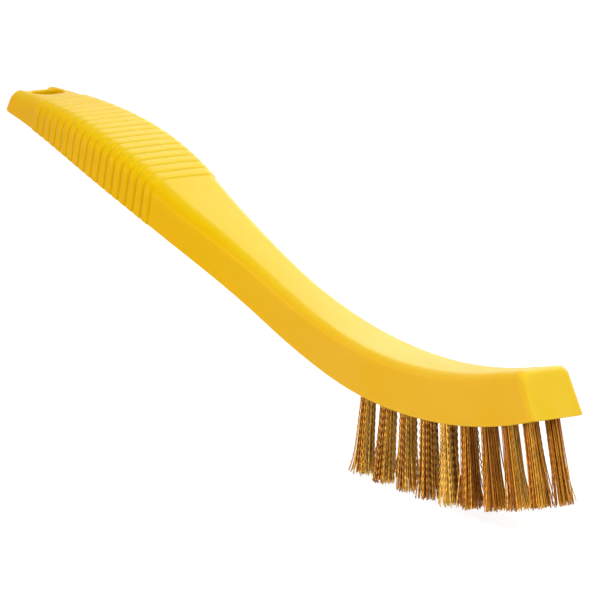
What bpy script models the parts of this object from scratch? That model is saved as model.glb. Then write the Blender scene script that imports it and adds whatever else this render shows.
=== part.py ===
"""A curved hand scrub brush: one moulded handle, two rows of crimped wire tufts and the anchors that hold them.

The script is in metres with +Z up. Stations along the brush are measured in X from the tail of the handle
to the nose of the head. The brush stands on its trimmed bristle tips at z = 0, and an empty carries every
piece, so that the middle of the brush is at x = 0.
"""

import math
import random
from dataclasses import dataclass

import bmesh
import bpy
from mathutils import Vector

MM = 0.001

# Underside of the handle in side view, from the tail to the nose
GRIP_ARC_LENGTH = 66.8 * MM
GRIP_ARC_RADIUS = 311.0 * MM
SHAFT_LENGTH = 44.1 * MM
NECK_ARC_LENGTH = 27.7 * MM
NECK_ARC_RADIUS = 197.0 * MM
HEAD_REAR_LENGTH = 28.2 * MM
HEAD_FRONT_LENGTH = 51.3 * MM
HEAD_ARC_RADIUS = 133.0 * MM
HANDLE_LENGTH = GRIP_ARC_LENGTH + SHAFT_LENGTH + NECK_ARC_LENGTH + HEAD_REAR_LENGTH + HEAD_FRONT_LENGTH

# Thickness of the moulding
TAIL_THICKNESS = 5.6 * MM
GRIP_THICKNESS = 12.6 * MM
SHAFT_THICKNESS = 11.8 * MM
HEAD_THICKNESS = 14.85 * MM
TAIL_TAPER_LENGTH = 58.0 * MM
SHAFT_TAPER_LENGTH = 22.0 * MM
HEAD_TAPER_LENGTH = 100.0 * MM
HEAD_TAPER_TO_NOSE = 16.9 * MM
HEAD_TAPER_POWER = 1.8

# Half widths of the top face
TAIL_HALF_WIDTH = 8.9 * MM
GRIP_HALF_WIDTH = 13.2 * MM
NECK_HALF_WIDTH = 7.6 * MM
HEAD_HALF_WIDTH = 9.0 * MM
GRIP_WIDEST_FROM_TAIL = 47.2 * MM
NECK_FROM_NOSE = 106.9 * MM
HEAD_FULL_WIDTH_FROM_NOSE = 56.9 * MM
SIDE_DRAFT = 0.054

# Edges of the cross-section
GRIP_EDGE_RADIUS = 4.3 * MM
NECK_EDGE_RADIUS = 2.9 * MM
HEAD_EDGE_RADIUS = 2.3 * MM
TAIL_EDGE_RADIUS = 3.2 * MM
EDGE_STEPS = 4
UNDERSIDE_BEVEL = 0.4 * MM

# Nose and tail ends
NOSE_LEAN = 7.6 * MM
NOSE_LEAN_REACH = 24.0 * MM
NOSE_CORNER_RADIUS = 1.8 * MM
NOSE_TOP_RADIUS = 3.5 * MM
NOSE_TOP_TURN_SHARE = 0.69
TAIL_LEAN = 0.4 * MM
TAIL_LEAN_REACH = 6.0 * MM
TAIL_CORNER_RADIUS = 3.6 * MM
TAIL_TOP_RADIUS = 2.0 * MM
TAIL_TOP_TURN_SHARE = 0.75
END_STEPS = 4

# Grip ribs
RIB_COUNT = 18
RIB_PITCH = 2.913 * MM
RIB_HEIGHT = 0.42 * MM
RIB_ROUNDNESS = 3.0
RIB_STATIONS = (0.12, 0.36, 0.64, 0.88)
FIRST_GROOVE_FROM_TAIL = 14.7 * MM

# Hanging hole
HOLE_LENGTH = 6.8 * MM
HOLE_WIDTH = 10.4 * MM
HOLE_CORNER_RADIUS = 3.3 * MM
HOLE_CORNER_STEPS = 5
HOLE_TAIL_WALL = 4.3 * MM

# Dip in the top of the end bar behind the hanging hole
DIP_DEPTH = 0.65 * MM
DIP_HALF_WIDTH = 5.8 * MM
DIP_FLAT_HALF_WIDTH = 4.1 * MM
DIP_LENGTH = 7.5 * MM
DIP_WALL_STEPS = 4

# Tufts of wire
TUFT_COLUMNS = 9
TUFT_PITCH = 7.65 * MM
TUFT_TO_NOSE = 6.4 * MM
ROW_SPACING = 8.3 * MM
TUFT_LENGTH = 22.8 * MM
TUFT_LEAN = math.radians(5.9)
TUFT_FAN = 0.77
STRAND_RINGS = (1, 6, 12)
STRAND_RING_STEP = 0.86 * MM
STRAND_RADIUS = 0.3 * MM
STRAND_SIDES = 3
STRAND_BENDS = (0.0, 1.0, -1.0, 0.0)
CRIMP_DEPTH = 0.16 * MM
TIP_SPLAY = 1.25
TIP_UNEVENNESS = 0.45 * MM
FLOOR_TRIM = 0.5 * MM
WIRE_SEED = 7

# Tuft holes, roots and anchors
TUFT_HOLE_RADIUS = 2.4 * MM
TUFT_HOLE_DEPTH = 6.6 * MM
TUFT_HOLE_SIDES = 12
ROOT_RECESS = 0.2 * MM
ROOT_FOLD = 0.8 * MM
ANCHOR_THICKNESS = 0.45 * MM
ANCHOR_HEIGHT = 1.8 * MM
ANCHOR_BITE = 0.4 * MM

# Working allowances
FIT_GAP = 0.3 * MM
CUT_PAST = 3.0 * MM
STRAND_IN_ROOT = 0.4 * MM
TAIL_STATION_STEP = 2.8 * MM
PLAIN_STATION_STEP = 4.5 * MM
HEAD_STATION_STEP = 4.0 * MM


@dataclass(frozen=True)
class ArcStretch:
    """One stretch of the underside: where it starts, its height and slope there, and its curvature."""

    start: float
    height: float
    sine: float
    curvature: float

    def sine_at(self, x: float) -> float:
        """Return the sine of the slope at station x."""
        return self.sine + self.curvature * (x - self.start)

    def height_at(self, x: float) -> float:
        """Return the height of the underside at station x."""
        sine = self.sine_at(x)
        if self.curvature == 0.0:
            return self.height + (x - self.start) * sine / math.sqrt(1.0 - sine * sine)
        rise = math.sqrt(1.0 - self.sine * self.sine) - math.sqrt(1.0 - sine * sine)
        return self.height + rise / self.curvature


class Underside:
    """The underside of the handle in side view, as arcs that meet in line, lowest at height 0."""

    def __init__(self) -> None:
        """Lay the arcs out from the lowest point of the head back to the tail."""
        lowest = HANDLE_LENGTH - HEAD_FRONT_LENGTH
        stretches = [ArcStretch(lowest, 0.0, 0.0, 1.0 / HEAD_ARC_RADIUS)]
        for length, curvature in (
            (HEAD_REAR_LENGTH, 1.0 / HEAD_ARC_RADIUS),
            (NECK_ARC_LENGTH, 1.0 / NECK_ARC_RADIUS),
            (SHAFT_LENGTH, 0.0),
            (GRIP_ARC_LENGTH, -1.0 / GRIP_ARC_RADIUS),
        ):
            after = stretches[0]
            end = ArcStretch(after.start, after.height, after.sine, curvature)
            start = after.start - length
            stretches.insert(0, ArcStretch(start, end.height_at(start), end.sine_at(start), curvature))
        self.stretches = stretches

    def stretch_at(self, x: float) -> ArcStretch:
        """Return the stretch that holds station x."""
        passed = [stretch for stretch in self.stretches if stretch.start <= x]
        return passed[-1] if passed else self.stretches[0]

    def height(self, x: float) -> float:
        """Return the height of the underside at station x."""
        return self.stretch_at(x).height_at(x)

    def slope(self, x: float) -> float:
        """Return the slope angle of the underside at station x."""
        return math.asin(self.stretch_at(x).sine_at(x))


UNDERSIDE = Underside()


def quarter_wave(share: float) -> float:
    """Return a rise from 0 to 1 that starts steep and ends level, for a share held within 0 to 1."""
    return math.sin(0.5 * math.pi * min(max(share, 0.0), 1.0))


def half_wave(share: float) -> float:
    """Return a rise from 0 to 1 that is level at both ends, for a share held within 0 to 1."""
    return 0.5 - 0.5 * math.cos(math.pi * min(max(share, 0.0), 1.0))


def mix(first: float, second: float, share: float) -> float:
    """Return the value that lies the given share of the way from first to second."""
    return first + (second - first) * share


def thickness(x: float) -> float:
    """Return the thickness of the moulding at station x, without ribs."""
    taper_end = HANDLE_LENGTH - HEAD_TAPER_TO_NOSE
    taper_start = taper_end - HEAD_TAPER_LENGTH
    tail = mix(TAIL_THICKNESS, GRIP_THICKNESS, quarter_wave(x / TAIL_TAPER_LENGTH))
    waist = (GRIP_THICKNESS - SHAFT_THICKNESS) * half_wave((x - TAIL_TAPER_LENGTH) / SHAFT_TAPER_LENGTH)
    share = min(max((x - taper_start) / HEAD_TAPER_LENGTH, 0.0), 1.0)
    return tail - waist + (HEAD_THICKNESS - SHAFT_THICKNESS) * share**HEAD_TAPER_POWER


def half_width(x: float) -> float:
    """Return half the width of the top face at station x, without ribs."""
    neck = HANDLE_LENGTH - NECK_FROM_NOSE
    head = HANDLE_LENGTH - HEAD_FULL_WIDTH_FROM_NOSE
    if x < GRIP_WIDEST_FROM_TAIL:
        share = x / GRIP_WIDEST_FROM_TAIL
        return mix(TAIL_HALF_WIDTH, GRIP_HALF_WIDTH, mix(quarter_wave(share), half_wave(share), 0.6))
    if x < neck:
        share = (x - GRIP_WIDEST_FROM_TAIL) / (neck - GRIP_WIDEST_FROM_TAIL)
        return mix(GRIP_HALF_WIDTH, NECK_HALF_WIDTH, half_wave(share))
    return mix(NECK_HALF_WIDTH, HEAD_HALF_WIDTH, half_wave((x - neck) / (head - neck)))


def edge_radius(x: float) -> float:
    """Return the radius of the two top edges at station x."""
    neck = HANDLE_LENGTH - NECK_FROM_NOSE
    head = HANDLE_LENGTH - HEAD_FULL_WIDTH_FROM_NOSE
    if x < GRIP_WIDEST_FROM_TAIL:
        return mix(TAIL_EDGE_RADIUS, GRIP_EDGE_RADIUS, quarter_wave(x / GRIP_WIDEST_FROM_TAIL))
    if x < neck:
        share = (x - GRIP_WIDEST_FROM_TAIL) / (neck - GRIP_WIDEST_FROM_TAIL)
        return mix(GRIP_EDGE_RADIUS, NECK_EDGE_RADIUS, half_wave(share))
    return mix(NECK_EDGE_RADIUS, HEAD_EDGE_RADIUS, half_wave((x - neck) / (head - neck)))


def rib_rise(x: float) -> float:
    """Return how far the grip ribs stand out at station x."""
    place = (x - FIRST_GROOVE_FROM_TAIL) / RIB_PITCH
    if not 0.0 < place < RIB_COUNT:
        return 0.0
    across = abs(2.0 * (place - math.floor(place)) - 1.0)
    return RIB_HEIGHT * (1.0 - across**RIB_ROUNDNESS)


def end_lean(x: float) -> float:
    """Return how far the top of the cross-section at station x is set back from its foot, towards the tail."""
    nose = half_wave((x - HANDLE_LENGTH + NOSE_LEAN_REACH) / NOSE_LEAN_REACH)
    tail = half_wave((TAIL_LEAN_REACH - x) / TAIL_LEAN_REACH)
    return NOSE_LEAN * nose - TAIL_LEAN * tail


@dataclass(frozen=True)
class Rounding:
    """How far an end's rounding has drawn a cross-section in, and the two arcs it follows.

    The top edge turns by a smaller share of the angle than the sides, since the end face slants.
    """

    turn: float = 0.0
    side_radius: float = 0.0
    top_radius: float = 0.0
    top_turn_share: float = 1.0
    direction: float = 0.0

    def side_inset(self) -> float:
        """Return how far each side is drawn in."""
        return self.side_radius * (1.0 - math.cos(self.turn))

    def top_inset(self) -> float:
        """Return how far the top is drawn down."""
        return self.top_radius * (1.0 - math.cos(self.turn * self.top_turn_share))

    def advance(self, share_up: float) -> float:
        """Return how far a point has moved out to the end, which differs at the foot and at the top."""
        side = self.side_radius * math.sin(self.turn)
        top = self.top_radius * math.sin(self.turn * self.top_turn_share)
        return self.direction * mix(side, top, share_up)


def side_profile() -> list[tuple[float, float, float]]:
    """Return one side of the cross-section, as (share of the height, bevel share, edge turn) from the foot up.

    The edge turn runs over a quarter circle round the top edge, and is negative below it. The share of the
    height is the one at the top of that edge.
    """
    foot = [(0.0, 1.0, -1.0), (0.0, 0.0, -1.0)]
    edge = [(1.0, 0.0, 0.5 * math.pi * step / EDGE_STEPS) for step in range(EDGE_STEPS + 1)]
    return foot + edge


def section_point(station: float, rounding: Rounding, profile: tuple[float, float, float], side: int) -> Vector:
    """Return one point of the cross-section.

    Args:
        station: X of the section's foot before any rounding.
        rounding: how far an end's rounding has gone at this section.
        profile: the entry of side_profile that the point is.
        side: 1 for +Y, -1 for -Y.

    Returns:
        The point in the brush's own layout, with height 0 at the lowest point of the underside.
    """
    share_up, bevel, turn = profile
    if turn >= 0.0:
        share_up -= edge_radius(station) * (1.0 - math.sin(turn)) / thickness(station)
    x = station - end_lean(station) * share_up + rounding.advance(share_up)
    tall = thickness(x) - rounding.top_inset()
    rise = rib_rise(x)
    if turn < 0.0:
        up = 0.0 if bevel else UNDERSIDE_BEVEL
        out = half_width(x) + SIDE_DRAFT * tall + rise - UNDERSIDE_BEVEL * bevel
    else:
        radius = edge_radius(x)
        up = tall + rise - radius * (1.0 - math.sin(turn))
        out = half_width(x) + SIDE_DRAFT * (tall - up) + rise - radius * (1.0 - math.cos(turn))
    out -= rounding.side_inset()
    return Vector((x, side * out, UNDERSIDE.height(x) + up))


def section(station: float, rounding: Rounding) -> list[Vector]:
    """Return a whole cross-section, as a loop that runs round from the near foot to the far foot."""
    profile = side_profile()
    near = [section_point(station, rounding, entry, -1) for entry in profile]
    far = [section_point(station, rounding, entry, 1) for entry in reversed(profile)]
    return near + far


def spread(start: float, end: float, step: float) -> list[float]:
    """Return stations from start up to but not including end, evenly placed at about the given step."""
    count = max(1, round((end - start) / step))
    return [mix(start, end, index / count) for index in range(count)]


def rib_stations() -> list[float]:
    """Return the stations over the ribs: each groove, and the places that shape the rib after it."""
    stations = []
    for rib in range(RIB_COUNT):
        groove = FIRST_GROOVE_FROM_TAIL + rib * RIB_PITCH
        stations.append(groove)
        stations.extend(groove + share * RIB_PITCH for share in RIB_STATIONS)
    return stations


def handle_sections() -> list[list[Vector]]:
    """Return every cross-section of the handle, from the tail to the nose."""
    tail_start = max(TAIL_CORNER_RADIUS, TAIL_TOP_RADIUS)
    nose_start = HANDLE_LENGTH - NOSE_CORNER_RADIUS
    ribs_end = FIRST_GROOVE_FROM_TAIL + RIB_COUNT * RIB_PITCH
    head_start = nose_start - HEAD_FRONT_LENGTH - HEAD_REAR_LENGTH
    turns = [0.5 * math.pi * step / END_STEPS for step in range(1, END_STEPS + 1)]
    sections = [
        section(tail_start, Rounding(turn, TAIL_CORNER_RADIUS, TAIL_TOP_RADIUS, TAIL_TOP_TURN_SHARE, -1.0))
        for turn in reversed(turns)
    ]
    plain = spread(tail_start, FIRST_GROOVE_FROM_TAIL, TAIL_STATION_STEP) + rib_stations()
    plain += spread(ribs_end, head_start, PLAIN_STATION_STEP)
    plain += spread(head_start, nose_start, HEAD_STATION_STEP) + [nose_start]
    sections += [section(station, Rounding()) for station in plain]
    sections += [
        section(nose_start, Rounding(turn, NOSE_CORNER_RADIUS, NOSE_TOP_RADIUS, NOSE_TOP_TURN_SHARE, 1.0))
        for turn in turns
    ]
    return [flat_end(sections[0])] + sections[1:-1] + [flat_end(sections[-1])]


def flat_end(loop: list[Vector]) -> list[Vector]:
    """Return an end section with its points moved along the brush into the plane of its foot and its top."""
    foot = min(loop, key=lambda point: point.z)
    top = max(loop, key=lambda point: point.z)
    lean = (top.x - foot.x) / (top.z - foot.z)
    return [Vector((foot.x + lean * (point.z - foot.z), point.y, point.z)) for point in loop]


@dataclass(frozen=True)
class TuftSeat:
    """Where one tuft stands in the head, and which way it points."""

    column: int
    side: int
    foot: Vector
    along: Vector
    across: Vector

    def place(self, out: float, sideways: float, lengthways: float) -> Vector:
        """Return a point given from the seat: out of the head, across the rows, and along the head."""
        beside = Vector((0.0, self.side * sideways, 0.0))
        return self.foot + self.along * out + beside + self.across * lengthways


def tuft_seat(column: int, side: int, head_height: float) -> TuftSeat:
    """Return the seat of one tuft.

    Args:
        column: 0 at the nose, counted towards the handle.
        side: 1 for the row at +Y, -1 for the row at -Y.
        head_height: height of the lowest point of the underside over the floor.

    Returns:
        The seat, with its foot on the underside.
    """
    x = HANDLE_LENGTH - TUFT_TO_NOSE - column * TUFT_PITCH
    lean = TUFT_LEAN + TUFT_FAN * UNDERSIDE.slope(x)
    foot = Vector((x, side * 0.5 * ROW_SPACING, head_height + UNDERSIDE.height(x)))
    along = Vector((math.sin(lean), 0.0, -math.cos(lean)))
    across = Vector((math.cos(lean), 0.0, math.sin(lean)))
    return TuftSeat(column, side, foot, along, across)


def head_height() -> float:
    """Return how high the underside's lowest point is over the floor, so that the longest tufts are trimmed flat."""
    seats = [tuft_seat(column, 1, 0.0) for column in range(TUFT_COLUMNS)]
    return max(-seat.place(TUFT_LENGTH, 0.0, 0.0).z for seat in seats) - FLOOR_TRIM


def material(name: str, color: tuple[float, float, float], roughness: float, metallic: float) -> bpy.types.Material:
    """Return a new material with the given colour, roughness and metallic value."""
    made = bpy.data.materials.new(name)
    made.use_nodes = True
    shader = made.node_tree.nodes["Principled BSDF"]
    shader.inputs["Base Color"].default_value = (*color, 1.0)
    shader.inputs["Roughness"].default_value = roughness
    shader.inputs["Metallic"].default_value = metallic
    return made


def mesh_object(name: str, shape: bmesh.types.BMesh, finish: bpy.types.Material, smooth: bool) -> bpy.types.Object:
    """Return a new object in the scene that holds the shape, with outward normals and one material."""
    bmesh.ops.recalc_face_normals(shape, faces=shape.faces)
    mesh = bpy.data.meshes.new(name)
    shape.to_mesh(mesh)
    shape.free()
    mesh.materials.append(finish)
    if smooth:
        mesh.shade_smooth()
        mesh.set_sharp_from_angle(angle=math.radians(32.0))
    made = bpy.data.objects.new(name, mesh)
    bpy.context.scene.collection.objects.link(made)
    return made


def add_loft(shape: bmesh.types.BMesh, loops: list[list[Vector]]) -> None:
    """Skin a row of point loops with quads and close both ends."""
    rings = [[shape.verts.new(point) for point in loop] for loop in loops]
    count = len(loops[0])
    for first, second in zip(rings, rings[1:]):
        for index in range(count):
            after = (index + 1) % count
            shape.faces.new((first[index], first[after], second[after], second[index]))
    shape.faces.new(rings[0])
    shape.faces.new(tuple(reversed(rings[-1])))


def add_boolean(target: bpy.types.Object, tool: bpy.types.Object, operation: str) -> None:
    """Give the target a Boolean modifier with the tool, and leave the tool out of the model."""
    modifier = target.modifiers.new(tool.name, "BOOLEAN")
    modifier.operation = operation
    modifier.object = tool
    modifier.solver = "EXACT"
    tool.hide_render = True
    tool.display_type = "WIRE"


def ring_points(seat: TuftSeat, out: float, radius: float, sides: int) -> list[Vector]:
    """Return a circle of points round a seat's axis, at the given distance out of the head."""
    turns = [2.0 * math.pi * (index + 0.5) / sides for index in range(sides)]
    return [seat.place(out, radius * math.sin(turn), radius * math.cos(turn)) for turn in turns]


def box_loops(seat: TuftSeat, outs: tuple[float, float], sideways: float, lengthways: float) -> list[list[Vector]]:
    """Return the two end loops of a box round a seat's axis, from its two depths and its two half sizes."""
    corners = ((-1, -1), (1, -1), (1, 1), (-1, 1))
    return [[seat.place(out, sideways * a, lengthways * b) for a, b in corners] for out in outs]


def hole_outline(seat: TuftSeat, out: float) -> list[Vector]:
    """Return the outline of a tuft hole: a circle with a kerf on each side, where the anchor has cut its way."""
    kerf_half = 0.5 * ANCHOR_THICKNESS + FIT_GAP
    kerf_end = TUFT_HOLE_RADIUS + ANCHOR_BITE + FIT_GAP
    meet = math.asin(kerf_half / TUFT_HOLE_RADIUS)
    steps = TUFT_HOLE_SIDES // 2
    outline = []
    for flip in (1.0, -1.0):
        turns = [mix(meet, math.pi - meet, step / (steps - 1)) for step in range(steps)]
        arc = [(TUFT_HOLE_RADIUS * math.cos(turn), TUFT_HOLE_RADIUS * math.sin(turn)) for turn in turns]
        kerf = [(-kerf_end, kerf_half), (-kerf_end, -kerf_half)]
        outline += [seat.place(out, flip * sideways, flip * lengthways) for sideways, lengthways in arc + kerf]
    return outline


def make_handle(seats: list[TuftSeat], height: float, finish: bpy.types.Material) -> bpy.types.Object:
    """Return the moulded handle, with its hanging hole and its tuft holes cut by Boolean tools."""
    shape = bmesh.new()
    add_loft(shape, handle_sections())
    bmesh.ops.translate(shape, verts=shape.verts, vec=(0.0, 0.0, height))
    handle = mesh_object("handle", shape, finish, smooth=True)
    add_boolean(handle, make_hanging_hole_cutter(height, finish), "DIFFERENCE")
    add_boolean(handle, make_dip_cutter(height, finish), "DIFFERENCE")
    add_boolean(handle, make_tuft_hole_cutter(seats, finish), "DIFFERENCE")
    return handle


def hanging_hole_outline(centre: float, z: float) -> list[Vector]:
    """Return the outline of the hanging hole at height z: a rectangle with round corners."""
    outline = []
    for corner, (ahead, aside) in enumerate(((1, 1), (-1, 1), (-1, -1), (1, -1))):
        x = centre + ahead * (0.5 * HOLE_LENGTH - HOLE_CORNER_RADIUS)
        y = aside * (0.5 * HOLE_WIDTH - HOLE_CORNER_RADIUS)
        for step in range(HOLE_CORNER_STEPS + 1):
            turn = 0.5 * math.pi * (corner + step / HOLE_CORNER_STEPS)
            outline.append(Vector((
                x + HOLE_CORNER_RADIUS * math.cos(turn),
                y + HOLE_CORNER_RADIUS * math.sin(turn),
                z,
            )))
    return outline


def make_hanging_hole_cutter(height: float, finish: bpy.types.Material) -> bpy.types.Object:
    """Return the prism that cuts the hanging hole along the moulding's draw direction."""
    centre = HOLE_TAIL_WALL + 0.5 * HOLE_LENGTH
    foot = height + UNDERSIDE.height(centre)
    levels = (foot - CUT_PAST, foot + thickness(centre) + CUT_PAST)
    shape = bmesh.new()
    add_loft(shape, [hanging_hole_outline(centre, z) for z in levels])
    return mesh_object("hanging_hole_cutter", shape, finish, smooth=False)


def dip_profile() -> list[tuple[float, float]]:
    """Return the dip across the end bar as (y, share of its depth): a flat floor with a soft wall on each side."""
    steps = [step / DIP_WALL_STEPS for step in range(DIP_WALL_STEPS + 1)]
    wall = [(mix(DIP_HALF_WIDTH, DIP_FLAT_HALF_WIDTH, step), half_wave(step)) for step in steps]
    return [(-y, share) for y, share in wall] + list(reversed(wall))


def make_dip_cutter(height: float, finish: bpy.types.Material) -> bpy.types.Object:
    """Return the cutter that dips the top of the end bar between the two arms beside the hanging hole."""
    loops = []
    for x in (-CUT_PAST, 0.0, 0.5 * HOLE_TAIL_WALL, HOLE_TAIL_WALL, DIP_LENGTH):
        top = height + UNDERSIDE.height(x) + thickness(x)
        depth, lift = (DIP_DEPTH, 0.0) if x <= HOLE_TAIL_WALL else (0.0, UNDERSIDE_BEVEL)
        loop = [Vector((x, y, top + lift - depth * share)) for y, share in dip_profile()]
        loop += [Vector((x, y, top + CUT_PAST)) for y in (DIP_HALF_WIDTH, -DIP_HALF_WIDTH)]
        loops.append(loop)
    shape = bmesh.new()
    add_loft(shape, loops)
    return mesh_object("dip_cutter", shape, finish, smooth=False)


def make_tuft_hole_cutter(seats: list[TuftSeat], finish: bpy.types.Material) -> bpy.types.Object:
    """Return one cutter that holds a prism for every tuft hole."""
    shape = bmesh.new()
    for seat in seats:
        add_loft(shape, [hole_outline(seat, -TUFT_HOLE_DEPTH), hole_outline(seat, CUT_PAST)])
    return mesh_object("tuft_hole_cutter", shape, finish, smooth=False)


def root_depths() -> tuple[float, float, float]:
    """Return the depths of a tuft root's fold, of its anchor window's floor and of the window's top."""
    fold = TUFT_HOLE_DEPTH - FIT_GAP
    window_floor = fold - ROOT_FOLD
    return fold, window_floor, window_floor - ANCHOR_HEIGHT - 2.0 * FIT_GAP


def strand_loops(seat: TuftSeat, ring: int, place: int, length: float) -> list[list[Vector]]:
    """Return the cross-sections of one wire strand, from inside the root to its tip.

    Args:
        seat: the seat of the strand's tuft.
        ring: which ring of the bundle the strand is in, 0 for the middle.
        place: which of the ring's strands it is.
        length: length of the strand from the underside.

    Returns:
        One loop of points for each bend. A tip that would pass the floor ends flat on it.
    """
    turn = 2.0 * math.pi * place / STRAND_RINGS[ring]
    spacing = ring * STRAND_RING_STEP
    stops = [-ROOT_RECESS - STRAND_IN_ROOT]
    stops += [length * step / (len(STRAND_BENDS) - 1) for step in range(1, len(STRAND_BENDS))]
    loops = []
    for stop, bend in zip(stops, STRAND_BENDS):
        radius = spacing * mix(1.0, TIP_SPLAY, max(stop, 0.0) / length)
        loop = []
        for side in range(STRAND_SIDES):
            corner = 2.0 * math.pi * side / STRAND_SIDES
            sideways = radius * math.sin(turn) + STRAND_RADIUS * math.sin(corner)
            lengthways = radius * math.cos(turn) + STRAND_RADIUS * math.cos(corner) + bend * CRIMP_DEPTH
            loop.append(seat.place(stop, sideways, lengthways))
        loops.append(loop)
    trim_at_floor(loops)
    return loops


def trim_at_floor(loops: list[list[Vector]]) -> None:
    """Pull the last loop's points back along their edges to the floor, where they lie under it."""
    for before, point in zip(loops[-2], loops[-1]):
        if point.z < 0.0:
            share = before.z / (before.z - point.z)
            point.xy = before.xy.lerp(point.xy, share)
            point.z = 0.0


def make_tuft(name: str, seat: TuftSeat, finish: bpy.types.Material) -> bpy.types.Object:
    """Return one tuft: the folded root in its hole, with a window for the anchor, and the strands."""
    fold, window_floor, window_top = root_depths()
    root_radius = TUFT_HOLE_RADIUS - FIT_GAP
    shape = bmesh.new()
    add_loft(shape, [
        ring_points(seat, -fold, root_radius, TUFT_HOLE_SIDES),
        ring_points(seat, -ROOT_RECESS, root_radius, TUFT_HOLE_SIDES),
    ])
    tuft = mesh_object(name, shape, finish, smooth=False)

    uneven = random.Random(WIRE_SEED + seat.column)
    strands = bmesh.new()
    for ring, count in enumerate(STRAND_RINGS):
        for place in range(count):
            length = TUFT_LENGTH + uneven.uniform(-TIP_UNEVENNESS, TIP_UNEVENNESS)
            add_loft(strands, strand_loops(seat, ring, place, length))
    add_boolean(tuft, mesh_object(f"{name}_strands", strands, finish, smooth=False), "UNION")

    window = bmesh.new()
    add_loft(window, box_loops(
        seat,
        (-window_floor, -window_top),
        root_radius + CUT_PAST,
        0.5 * ANCHOR_THICKNESS + FIT_GAP,
    ))
    add_boolean(tuft, mesh_object(f"{name}_window", window, finish, smooth=False), "DIFFERENCE")
    return tuft


def make_anchor(name: str, seat: TuftSeat, finish: bpy.types.Material) -> bpy.types.Object:
    """Return one flat wire anchor, which crosses a tuft's fold and bites into both walls of its hole."""
    _, window_floor, window_top = root_depths()
    shape = bmesh.new()
    add_loft(shape, box_loops(
        seat,
        (-window_floor + FIT_GAP, -window_top - FIT_GAP),
        TUFT_HOLE_RADIUS + ANCHOR_BITE,
        0.5 * ANCHOR_THICKNESS,
    ))
    return mesh_object(name, shape, finish, smooth=False)


def middle_station(pieces: list[bpy.types.Object]) -> float:
    """Return the station halfway between the two ends of the brush, from the pieces with their modifiers."""
    bpy.context.view_layer.update()
    graph = bpy.context.evaluated_depsgraph_get()
    stations = [corner[0] for piece in pieces for corner in piece.evaluated_get(graph).bound_box]
    return 0.5 * (min(stations) + max(stations))


def clear_scene() -> None:
    """Remove every object that the scene holds."""
    for existing in list(bpy.data.objects):
        bpy.data.objects.remove(existing)


def main() -> None:
    """Build the brush."""
    clear_scene()
    plastic = material("yellow_plastic", (0.83, 0.52, 0.02), 0.38, 0.0)
    brass = material("brass_wire", (0.62, 0.36, 0.11), 0.35, 1.0)
    steel = material("anchor_wire", (0.55, 0.55, 0.55), 0.3, 1.0)

    height = head_height()
    rows = {"left": 1, "right": -1}
    seats = {
        f"{row}_{column + 1}": tuft_seat(column, side, height)
        for row, side in rows.items()
        for column in range(TUFT_COLUMNS)
    }
    pieces = [make_handle(list(seats.values()), height, plastic)]
    for place, seat in seats.items():
        pieces.append(make_tuft(f"tuft_{place}", seat, brass))
        pieces.append(make_anchor(f"anchor_{place}", seat, steel))

    frame = bpy.data.objects.new("brush_frame", None)
    bpy.context.scene.collection.objects.link(frame)
    frame.location.x = -middle_station(pieces)
    for made in bpy.data.objects:
        if made.type == "MESH":
            made.parent = frame


if __name__ == "__main__":
    main()
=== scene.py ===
"""Looks of the curved hand scrub brush: a yellow moulding, crimped brass wire tufts and a plain studio.

Everything is in metres with +Z up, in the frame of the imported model. Stations along the brush are measured
in X from the tail of the handle to the nose of the head, as in the part's own source.
"""

from __future__ import annotations

import logging
import math
import random
from dataclasses import dataclass, field
from enum import Enum

import bmesh
import bpy
from mathutils import Matrix, Vector

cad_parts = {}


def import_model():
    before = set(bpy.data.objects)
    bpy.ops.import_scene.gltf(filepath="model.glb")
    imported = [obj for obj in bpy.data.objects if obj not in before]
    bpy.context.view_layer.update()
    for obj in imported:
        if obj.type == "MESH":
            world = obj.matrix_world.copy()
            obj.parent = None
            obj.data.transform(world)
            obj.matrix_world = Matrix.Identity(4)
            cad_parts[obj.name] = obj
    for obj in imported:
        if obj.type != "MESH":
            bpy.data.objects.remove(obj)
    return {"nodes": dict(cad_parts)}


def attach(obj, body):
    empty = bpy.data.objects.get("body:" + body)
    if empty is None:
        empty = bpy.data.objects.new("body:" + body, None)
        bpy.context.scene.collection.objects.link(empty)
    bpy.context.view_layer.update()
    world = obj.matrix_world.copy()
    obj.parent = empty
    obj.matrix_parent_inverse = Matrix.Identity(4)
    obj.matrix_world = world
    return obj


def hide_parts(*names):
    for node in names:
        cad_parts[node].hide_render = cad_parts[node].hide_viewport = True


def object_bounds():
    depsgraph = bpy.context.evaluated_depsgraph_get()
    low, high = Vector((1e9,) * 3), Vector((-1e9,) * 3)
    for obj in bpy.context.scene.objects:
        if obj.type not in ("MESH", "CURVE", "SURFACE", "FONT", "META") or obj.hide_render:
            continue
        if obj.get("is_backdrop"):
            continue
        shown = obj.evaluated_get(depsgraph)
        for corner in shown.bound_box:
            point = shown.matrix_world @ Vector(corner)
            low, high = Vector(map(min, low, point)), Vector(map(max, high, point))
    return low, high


LOG = logging.getLogger("scrub_brush")
MM = 0.001
RIGHT_ANGLE = 0.5 * math.pi
FULL_TURN = 2.0 * math.pi

Pair = tuple[float, float]
Triple = tuple[float, float, float]
Stops = tuple[tuple[float, Triple], ...]
Noise = tuple[Triple, float]
Range = tuple[float, float, float, float]
Line = list[tuple[Vector, float]]
Socket = bpy.types.NodeSocket
Shape = bmesh.types.BMesh
Material = bpy.types.Material
Thing = bpy.types.Object


def mix(first: float, second: float, share: float) -> float:
    """Return the value that lies the given share of the way from first to second."""
    return first + (second - first) * share


def held(share: float) -> float:
    """Return the share, held within 0 to 1."""
    return min(max(share, 0.0), 1.0)


def quarter_wave(share: float) -> float:
    """Return a rise from 0 to 1 that starts steep and ends level."""
    return math.sin(RIGHT_ANGLE * held(share))


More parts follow.
